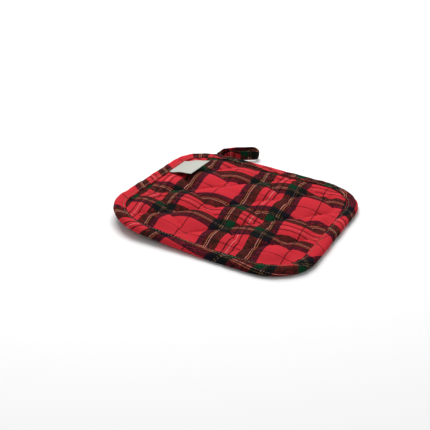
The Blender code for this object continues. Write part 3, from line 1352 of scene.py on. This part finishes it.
@dataclass(frozen=True)
class HangingLoop:
    """The folded tape that leaves the corner on edge, turns back and returns.

    Attributes:
        outline: The holder's plan.
        near_root: Angle round the corner where the strip leaves.
        far_root: Angle round the corner where it returns.
        clearance: Gap between the strip's ends and the binding.
        reach: Distance from the near root to where the turn starts.
        reach_heading: The way from one to the other.
        heading: The strip's own heading where the turn starts.
        far_slant: How far the returning strip leans from the corner's radius.
        turn_radius: Radius of the turn.
        thickness: The strip's thickness.
        height: The strip's height on edge.
        bottom: Its lower edge's height.
        half_sett: The tartan's half-sett.
        tuck: Length over which the strip thins towards each of its ends.
        tuck_top: How much lower the strip is at its ends.
        tuck_thinning: The share of its thickness taken off there.
        turn_at: Where along the strip the turn is thickest, from 0 to 1.
        turn_width: Width of that bell.
        turn_swell: How much thicker the strip is there, as a share.
        turn_waist: How much each edge draws in there.
        uneven: Share of the thickness that varies along the strip.
        uneven_run: Wavelength of that unevenness.
        uneven_seed: Its pattern.
        sag: How far the lower edge rises and falls.
        sag_run: Its wavelength.
        sag_seed: Its pattern.
        grain_slope: How much the weft climbs as the strip runs.
        warp_start: The warp's coordinate where the strip leaves.
        weft_start: The weft's coordinate there, at the lower edge.
        side_power: How flat the strip's sides are.
        edge_power: How flat its edges are.
        groove_at: Place of the sewn grooves, from the middle at 0 to an edge at 1.
        groove_width: Their width.
        groove_depth: Their depth as a share of half the thickness.
        stations: Sections along the strip.
        around: Points round a section.
        curve_points: Points of each part of the path before it is evened out.
    """

    outline: Outline
    near_root: float = math.radians(103.0)
    far_root: float = math.radians(113.0)
    clearance: float = 0.00035
    reach: float = 0.0318
    reach_heading: float = math.radians(29.2)
    heading: float = math.radians(38.0)
    far_slant: float = math.radians(22.0)
    turn_radius: float = 0.0060
    thickness: float = 0.0020
    height: float = 0.0100
    bottom: float = 0.0015
    half_sett: float = HALF_SETT
    tuck: float = 0.0080
    tuck_top: float = 0.0040
    tuck_thinning: float = 0.72
    turn_at: float = 0.46
    turn_width: float = 0.05
    turn_swell: float = 0.45
    turn_waist: float = 0.0012
    uneven: float = 0.06
    uneven_run: float = 0.013
    uneven_seed: int = 41
    sag: float = 0.0003
    sag_run: float = 0.019
    sag_seed: int = 42
    grain_slope: float = 0.30
    warp_start: float = 1.13
    weft_start: float = 1.02
    side_power: float = 0.35
    edge_power: float = 0.75
    groove_at: float = 0.74
    groove_width: float = 0.08
    groove_depth: float = 0.30
    stations: int = 200
    around: int = 40
    curve_points: int = 60

    def root(self, angle: float) -> Array:
        """Finds where the strip's middle meets the rounded corner.

        Args:
            angle: The angle round the corner.

        Returns:
            The plan position.
        """
        core = self.outline.core
        reach = self.outline.radius + self.clearance + self.thickness / 2.0
        return np.array([-core + reach * math.cos(angle), core + reach * math.sin(angle)])

    def bezier(self, start: Array, leaving: float, end: Array, arriving: float) -> Array:
        """Gives a cubic Bezier curve between two points with the two headings given.

        Its two handles are a third of the distance long.

        Args:
            start: The first point.
            leaving: The heading there.
            end: The last point.
            arriving: The heading there.

        Returns:
            The curve's points.
        """
        reach = np.linalg.norm(end - start) / 3.0
        first = start + reach * np.array([math.cos(leaving), math.sin(leaving)])
        second = end - reach * np.array([math.cos(arriving), math.sin(arriving)])
        t = np.linspace(0.0, 1.0, self.curve_points)[:, None]
        s = 1.0 - t
        return s**3 * start + 3 * s * s * t * first + 3 * s * t * t * second + t**3 * end

    def path(self) -> Array:
        """Lays the strip's middle line: out, round half a circle and back.

        Returns:
            Its points at even steps.
        """
        ahead = np.array([math.cos(self.heading), math.sin(self.heading)])
        left = np.array([-ahead[1], ahead[0]])
        near, far = self.root(self.near_root), self.root(self.far_root)
        reach = np.array([math.cos(self.reach_heading), math.sin(self.reach_heading)])
        start = near + reach * self.reach
        centre = start + left * self.turn_radius
        end = centre + left * self.turn_radius
        out = self.bezier(near, self.near_root - math.pi / 2.0, start, self.heading)
        arriving = self.far_root + math.pi / 2.0 + self.far_slant
        back = self.bezier(end, self.heading + math.pi, far, arriving)
        angle = np.linspace(0.0, math.pi, self.curve_points)[1:-1, None]
        turn = centre + self.turn_radius * (np.sin(angle) * ahead - np.cos(angle) * left)
        line = np.concatenate([out, turn, back])
        steps = np.linalg.norm(np.diff(line, axis=0), axis=1)
        run = np.concatenate([[0.0], np.cumsum(steps)])
        even = np.linspace(0.0, run[-1], self.stations)
        return np.stack([np.interp(even, run, line[:, k]) for k in range(2)], axis=-1)

    def section(self) -> Array:
        """Draws the folded strip's section.

        It is a flat superellipse with a sewn groove, a bell, near each long edge.

        Returns:
            Each point's sideways share, from -1 to 1, and its share of the height.
        """
        angle = np.linspace(0.0, 2.0 * math.pi, self.around, endpoint=False)
        side = np.sign(np.cos(angle)) * np.abs(np.cos(angle)) ** self.side_power
        rise = np.sign(np.sin(angle)) * np.abs(np.sin(angle)) ** self.edge_power
        groove = np.exp(-(((np.abs(rise) - self.groove_at) / self.groove_width) ** 2))
        return np.stack([side * (1.0 - self.groove_depth * groove), 0.5 + 0.5 * rise], axis=-1)

    def cloth(self, along: Array, height: Array) -> Array:
        """Gives the tartan's coordinates, in half-setts.

        The strip is cut a little off the straight grain, so the weft climbs as it runs.

        Args:
            along: Distances along the strip.
            height: Heights over its lower edge.

        Returns:
            The warp's and the weft's coordinate.
        """
        warp_at = self.warp_start - along / self.half_sett
        weft_at = self.weft_start - (height + self.grain_slope * along) / self.half_sett
        return np.stack([warp_at, weft_at], axis=-1)

    def sizes(self, share: Array, run: Array) -> tuple[Array, Array, Array, Array]:
        """Gives the strip's sizes along its run.

        A bell makes it thicker and lower at the turn, and smooth steps make it thinner and
        lower towards its two ends, where it meets the binding.

        Args:
            share: Shares of the strip's length, from 0 to 1.
            run: Distances along the strip.

        Returns:
            Half the thickness, how much of it was taken off, the lower edge's height, and
            the strip's height over that.
        """
        level = np.zeros_like(run)
        turn = np.exp(-(((share - self.turn_at) / self.turn_width) ** 2))
        tucked = 1.0 - smooth_step(np.minimum(run, run[-1] - run) / self.tuck)
        uneven = self.uneven * ripple(run, level, self.uneven_run, self.uneven_seed)
        half = self.thickness / 2.0 * (1.0 + self.turn_swell * turn + uneven)
        thinned = half * self.tuck_thinning * tucked
        waist = self.turn_waist * turn
        sag = self.sag * ripple(run, level, self.sag_run, self.sag_seed)
        low = self.bottom + waist + sag
        tall = self.height - self.tuck_top * tucked - 2.0 * waist
        return half - thinned, thinned, low, tall

    def build(self, finish: TartanFinish) -> bpy.types.Object:
        """Sweeps the section along the path and closes its two ends.

        A thinned end moves towards the corner's centre, so that it lies on the binding.

        Args:
            finish: The strip's cloth.

        Returns:
            The piece.
        """
        path = self.path()
        section = self.section()
        ahead = np.gradient(path, axis=0)
        ahead /= np.linalg.norm(ahead, axis=1, keepdims=True)
        sideways = np.stack([ahead[:, 1], -ahead[:, 0]], axis=-1)
        share = np.linspace(0.0, 1.0, self.stations)
        run = share * np.linalg.norm(np.diff(path, axis=0), axis=1).sum()
        half, thinned, low, tall = self.sizes(share, run)
        offset = section[None, :, 0] * half[:, None]
        z = low[:, None] + section[None, :, 1] * tall[:, None]
        inwards = np.array([-self.outline.core, self.outline.core]) - path
        inwards /= np.linalg.norm(inwards, axis=1, keepdims=True)
        middle = path + inwards * thinned[:, None]
        plan = middle[:, None, :] + sideways[:, None, :] * offset[..., None]
        points = self.outline.place(np.concatenate([plan, z[..., None]], axis=-1))
        ring = np.concatenate([section[:, 1], section[:1, 1]]) * self.height
        grid_run, grid_height = np.meshgrid(run, ring, indexing="ij")
        shell = Shell.lattice(points, self.cloth(grid_run, grid_height), (False, True))
        first = np.arange(self.around)
        shell.caps = np.stack([first[::-1], first + (self.stations - 1) * self.around])
        return shell.build("tape_loop", finish.material())


@dataclass(frozen=True)
class CareLabel:
    """The blank satin label beside the binding. Its free side stands up a little.

    Attributes:
        outline: The holder's plan.
        pad: The pad that it lies on.
        left: Its left side from the pad's middle.
        front: Its front side from the pad's middle.
        width: Its width.
        length: Its length.
        skew: How far its free side is shifted to the back.
        fan: How much wider it is at the back.
        bow: How far its front edge bows out.
        clearance: Gap over the puffs.
        free_rise: How high its free side rises at the back.
        front_share: The share of that at the front.
        thickness: Its thickness.
        columns: Points across it.
        rows: Points along it.
    """

    outline: Outline
    pad: QuiltedPad
    left: float = -0.0894
    front: float = 0.0215
    width: float = 0.0262
    length: float = 0.0340
    skew: float = 0.0024
    fan: float = 0.0030
    bow: float = 0.0012
    clearance: float = 0.0008
    free_rise: float = 0.0045
    front_share: float = 0.35
    thickness: float = 0.00045
    columns: int = 40
    rows: int = 50

    def build(self, finish: SatinFinish) -> bpy.types.Object:
        """Makes a thin closed sheet over the puffs, rising towards its free side.

        Args:
            finish: The ribbon.

        Returns:
            The piece.
        """
        across = np.linspace(0.0, 1.0, self.columns)
        along = np.linspace(0.0, 1.0, self.rows)
        s, t = np.meshgrid(across, along)
        x = self.left + self.width * s + self.fan * s * (t - 0.5)
        y = self.front + self.length * t + self.skew * s * t
        y = y - self.bow * np.sin(math.pi * s) * (1.0 - t)
        lift = self.free_rise * s**2 * (self.front_share + (1.0 - self.front_share) * t)
        low = self.pad.top(x, y, 1.0) + self.clearance + lift
        upper = self.outline.place(np.stack([x, y, low + self.thickness], axis=-1))
        lower = self.outline.place(np.stack([x, y, low], axis=-1))
        cloth = np.stack([s * self.width, t * self.length], axis=-1)
        shell = Shell.two_sided(upper, lower, cloth)
        return shell.build("blank_label", finish.material())


@dataclass(frozen=True)
class Stitches:
    """Many short stitches, each a tapered tube of few faces that dips at both ends.

    Attributes:
        radius: The thread's radius.
        arch: How high a stitch bulges over its ends.
        sink: How far it sinks into the cloth, as a share of the arch.
        rings: Columns: each ring's share of the stitch's length, and of the radius.
        sides: Sides of the tube.
    """

    radius: float = 0.00024
    arch: float = 0.00018
    sink: float = 0.6
    rings: tuple[tuple[float, float], ...] = (
        (0.00, 0.45),
        (0.18, 0.95),
        (0.50, 1.00),
        (0.82, 0.95),
        (1.00, 0.45),
    )
    sides: int = 6

    def shell(self, start: Array, end: Array, sense: float) -> Shell:
        """Makes tubes between the given points.

        The middles of a stitch's rings follow a parabola between its two ends.

        Args:
            start: One end of each stitch.
            end: Its other end.
            sense: 1 where the stitches bulge up, and -1 where they bulge down.

        Returns:
            All the tubes, closed at their buried ends.
        """
        share, size = np.array(self.rings).T
        size = size * self.radius
        up = np.zeros_like(start)
        up[:, 2] = sense
        ahead = end - start
        side = np.cross(ahead / np.linalg.norm(ahead, axis=1, keepdims=True), up)
        angle = np.linspace(0.0, 2.0 * math.pi, self.sides, endpoint=False)[None, :, None]
        middle = start[:, None] + ahead[:, None] * share[None, :, None]
        rise = self.arch * (1.0 - (2.0 * share - 1.0) ** 2) - self.sink * self.arch
        middle = middle + up[:, None] * rise[None, :, None]
        ring = side[:, None] * np.cos(angle) + up[:, None] * np.sin(angle)
        points = middle[:, :, None] + ring[:, None] * size[None, :, None, None]
        quads, caps = self.faces(len(start))
        return Shell(points.reshape(-1, 3), quads, np.zeros((len(quads), 4, 2)), caps)

    def faces(self, count: int) -> tuple[Array, Array]:
        """Joins the rings of all the tubes.

        Args:
            count: How many stitches there are.

        Returns:
            The four-sided faces between rings, and the caps at the ends.
        """
        rings, sides = len(self.rings), self.sides
        row, column = np.meshgrid(np.arange(rings - 1) * sides, np.arange(sides), indexing="ij")
        after = (column + 1) % sides
        corners = [row + column, row + after, row + sides + after, row + sides + column]
        one = np.stack(corners, axis=-1).reshape(-1, 4)
        first = np.arange(sides)
        ends = np.stack([first[::-1], first + (rings - 1) * sides])
        base = (np.arange(count) * rings * sides)[:, None, None]
        return (one[None] + base).reshape(-1, 4), (ends[None] + base).reshape(-1, sides)


@dataclass(frozen=True)
class QuiltingSeams:
    """The quilting thread along both sets of seams, above and below.

    Attributes:
        pad: The pad.
        pitch: Distance between two stitches.
        share: The share of the pitch that a stitch fills.
        margin: How far inside the edge the stitches stop.
        proud: How far the thread lies over the cloth.
        seams: Seams of a set on each side of its first one.
        stitches: Stitches of a seam on each side of its middle.
    """

    pad: QuiltedPad
    pitch: float = 0.0040
    share: float = 0.72
    margin: float = 0.0135
    proud: float = 0.00012
    seams: int = 5
    stitches: int = 45

    def runs(self) -> tuple[Array, Array]:
        """Lays the stitches in plan and keeps those inside the margin.

        Returns:
            The plan positions of the two ends of every stitch.
        """
        quilting = self.pad.quilting
        number = np.arange(-self.seams, self.seams + 1)[:, None] * quilting.spacing
        count = np.arange(-self.stitches, self.stitches + 1)[None, :]
        place = count * self.pitch + 0.5 * self.pitch
        half = self.share * self.pitch / 2.0
        starts, ends = [], []
        for sign, bucket in ((-1.0, starts), (1.0, ends)):
            for swap in (False, True):
                seam, along = np.broadcast_arrays(number, place + sign * half)
                first, second = (along, seam) if swap else (seam, along)
                bucket.append(np.stack(quilting.plan(first, second), axis=-1).reshape(-1, 2))
        start, end = np.concatenate(starts), np.concatenate(ends)
        inside = self.pad.outline.inset(*((start + end) / 2.0).T) > self.margin
        return start[inside], end[inside]

    def build(self, finish: ThreadFinish) -> bpy.types.Object:
        """Lays the stitches on the upper and the lower cloth.

        Args:
            finish: The thread.

        Returns:
            The piece.
        """
        shells = []
        for cloth, sense in ((self.pad.upper, 1.0), (self.pad.lower, -1.0)):
            ends = []
            for plan in self.runs():
                height = cloth(*plan.T)[:, None] + sense * self.proud
                ends.append(self.pad.outline.place(np.concatenate([plan, height], axis=1)))
            shells.append(Stitches().shell(*ends, sense))
        return shells[0].joined(shells[1]).build("quilting_thread", finish.material())


@dataclass(frozen=True)
class BindingSeam:
    """The thread that sews the binding's inner edge down, above and below.

    Attributes:
        binding: The binding.
        inset: The seam's distance from the outside edge.
        upper: Its height over the tape's middle, on top.
        lower: Its height over the tape's middle, below.
        pitch: Distance between two stitches.
        share: The share of the pitch that a stitch fills.
        radius: The thread's radius.
    """

    binding: EdgeBinding
    inset: float = 0.0096
    upper: float = 0.00318
    lower: float = -0.00345
    pitch: float = 0.0032
    share: float = 0.66
    radius: float = 0.00022

    def build(self, finish: ThreadFinish) -> bpy.types.Object:
        """Lays the stitches along the two edges of the tape.

        Args:
            finish: The thread.

        Returns:
            The piece.
        """
        outline = self.binding.outline
        count = int(round(outline.length / self.pitch))
        middle = np.arange(count) * outline.length / count
        half = self.share * self.pitch / 2.0
        shells = []
        for height, sense in ((self.upper, 1.0), (self.lower, -1.0)):
            ends = []
            for sign in (-1.0, 1.0):
                edge, outward = outline.edge((middle + sign * half) % outline.length)
                plan = edge - outward * self.inset
                z = outline.curl(*plan.T) + self.binding.middle + height
                ends.append(outline.place(np.concatenate([plan, z[:, None]], axis=1)))
            shells.append(Stitches(radius=self.radius).shell(*ends, sense))
        return shells[0].joined(shells[1]).build("binding_thread", finish.material())


# --------------------------------------------------------------------------------------
# Studio
# --------------------------------------------------------------------------------------


@dataclass(frozen=True)
class SoftLight:
    """A square soft light that faces the origin.

    Attributes:
        name: Its name.
        place: Where it stands.
        size: The length of its side.
        power: Its power in watts.
    """

    name: str
    place: tuple[float, float, float]
    size: float
    power: float

    def add(self) -> None:
        """Adds the light, turned so that its own Z axis points away from the origin."""
        data = bpy.data.lights.new(self.name, "AREA")
        data.size = self.size
        data.energy = self.power
        light = bpy.data.objects.new(self.name, data)
        light.location = self.place
        back = np.array(self.place) / np.linalg.norm(self.place)
        side = np.cross((0.0, 0.0, 1.0), back)
        side /= np.linalg.norm(side)
        rise = np.cross(back, side)
        turned = Matrix([(side[k], rise[k], back[k]) for k in range(3)])
        light.rotation_euler = turned.to_euler()
        bpy.context.scene.collection.objects.link(light)


@dataclass(frozen=True)
class Studio:
    """The camera, the floor and soft lights.

    Attributes:
        outline: The holder's plan.
        camera_place: The camera's place from the pad's own middle.
        azimuth: Its azimuth, 0 when it looks along +Y.
        elevation: How far it looks down.
        roll: How far it leans over.
        lens: Its focal length in millimetres.
        sensor: Its sensor's width in millimetres.
        clip: The nearest and the farthest that it sees.
        floor_half: Half the floor's width.
        floor_gap: How far the floor lies under the part.
        lamps: The lights.
        surround: Strength of the pale surround.
    """

    outline: Outline
    camera_place: tuple[float, float, float] = (0.29929, -0.71817, 0.40578)
    azimuth: float = math.radians(24.300)
    elevation: float = math.radians(27.892)
    roll: float = math.radians(4.416)
    lens: float = 75.35
    sensor: float = 36.0
    clip: tuple[float, float] = (0.01, 100.0)
    floor_half: float = 12.0
    floor_gap: float = 0.00005
    lamps: tuple[SoftLight, ...] = (
        SoftLight("key", (-0.48, 0.48, 1.00), 0.95, 18.0),
        SoftLight("fill", (0.9, -1.1, 0.9), 1.0, 1.2),
    )
    surround: float = 0.44

    def camera(self) -> bpy.types.Object:
        """Adds the camera and makes it the scene's.

        Returns:
            The camera.
        """
        data = bpy.data.cameras.new("view")
        data.lens = self.lens
        data.sensor_width = self.sensor
        data.clip_start, data.clip_end = self.clip
        camera = bpy.data.objects.new("view", data)
        turn = Matrix.Rotation(self.azimuth, 4, "Z")
        tilt = Matrix.Rotation(math.pi / 2.0 - self.elevation, 4, "X")
        lean = Matrix.Rotation(self.roll, 4, "Z")
        x, y, z = self.camera_place
        place = Matrix.Translation((x + self.outline.middle_x, y + self.outline.middle_y, z))
        camera.matrix_world = place @ turn @ tilt @ lean
        bpy.context.scene.collection.objects.link(camera)
        bpy.context.scene.camera = camera
        return camera

    def floor(self) -> bpy.types.Object:
        """Adds the floor, just under the part.

        Returns:
            The floor.
        """
        half, z = self.floor_half, -self.floor_gap
        mesh = bpy.data.meshes.new("floor")
        corners = [(-half, -half, z), (half, -half, z), (half, half, z), (-half, half, z)]
        mesh.from_pydata(corners, [], [(0, 1, 2, 3)])
        mesh.materials.append(FloorFinish().material())
        floor = bpy.data.objects.new("floor", mesh)
        bpy.context.scene.collection.objects.link(floor)
        return floor

    def lights(self) -> None:
        """Adds the lights and the pale surround."""
        for lamp in self.lamps:
            lamp.add()
        world = bpy.data.worlds.new("surround")
        world.use_nodes = True
        background = world.node_tree.nodes["Background"]
        background.inputs["Color"].default_value = (1.0, 1.0, 1.0, 1.0)
        background.inputs["Strength"].default_value = self.surround
        bpy.context.scene.world = world
        bpy.context.scene.view_settings.view_transform = "Standard"


# --------------------------------------------------------------------------------------
# The whole object
# --------------------------------------------------------------------------------------


def outline_from_frame() -> Outline:
    """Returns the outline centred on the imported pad."""
    low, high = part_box("quilted_pad")
    return Outline((low.x + high.x) / 2.0, (low.y + high.y) / 2.0)


def report(piece: bpy.types.Object) -> None:
    """Logs a piece's name and how many faces it has."""
    LOG.info("%s: %d faces", piece.name, len(piece.data.polygons))


def main() -> None:
    """Builds every piece in order and hands the scene over."""
    logging.basicConfig(level=logging.INFO, format="%(name)s %(message)s")
    outline = outline_from_frame()
    quilting = Quilting()
    studio = Studio(outline)
    studio.camera()
    studio.floor()
    studio.lights()

    pad = QuiltedPad(outline, quilting)
    pad_piece = pad.build(TartanFinish("tartan_twill"))
    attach(pad_piece, "root")
    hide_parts("quilted_pad")
    report(pad_piece)

    binding = EdgeBinding(outline, Tape())
    binding_piece = binding.build(TartanFinish("bias_twill"))
    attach(binding_piece, "root")
    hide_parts("edge_binding")
    report(binding_piece)

    loop_piece = HangingLoop(outline).build(TartanFinish("loop_twill"))
    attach(loop_piece, "root")
    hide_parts("hanging_loop")
    report(loop_piece)

    label_piece = CareLabel(outline, pad).build(SatinFinish())
    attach(label_piece, "root")
    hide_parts("care_label")
    report(label_piece)

    maroon = ThreadFinish("quilting_thread", (0.060, 0.008, 0.012, 1.0))
    quilting_thread = QuiltingSeams(pad).build(maroon)
    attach(quilting_thread, "root")
    report(quilting_thread)

    tan = ThreadFinish("binding_thread", (0.300, 0.190, 0.110, 1.0))
    binding_thread = BindingSeam(binding).build(tan)
    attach(binding_thread, "root")
    report(binding_thread)


if __name__ == "__main__":
    main()
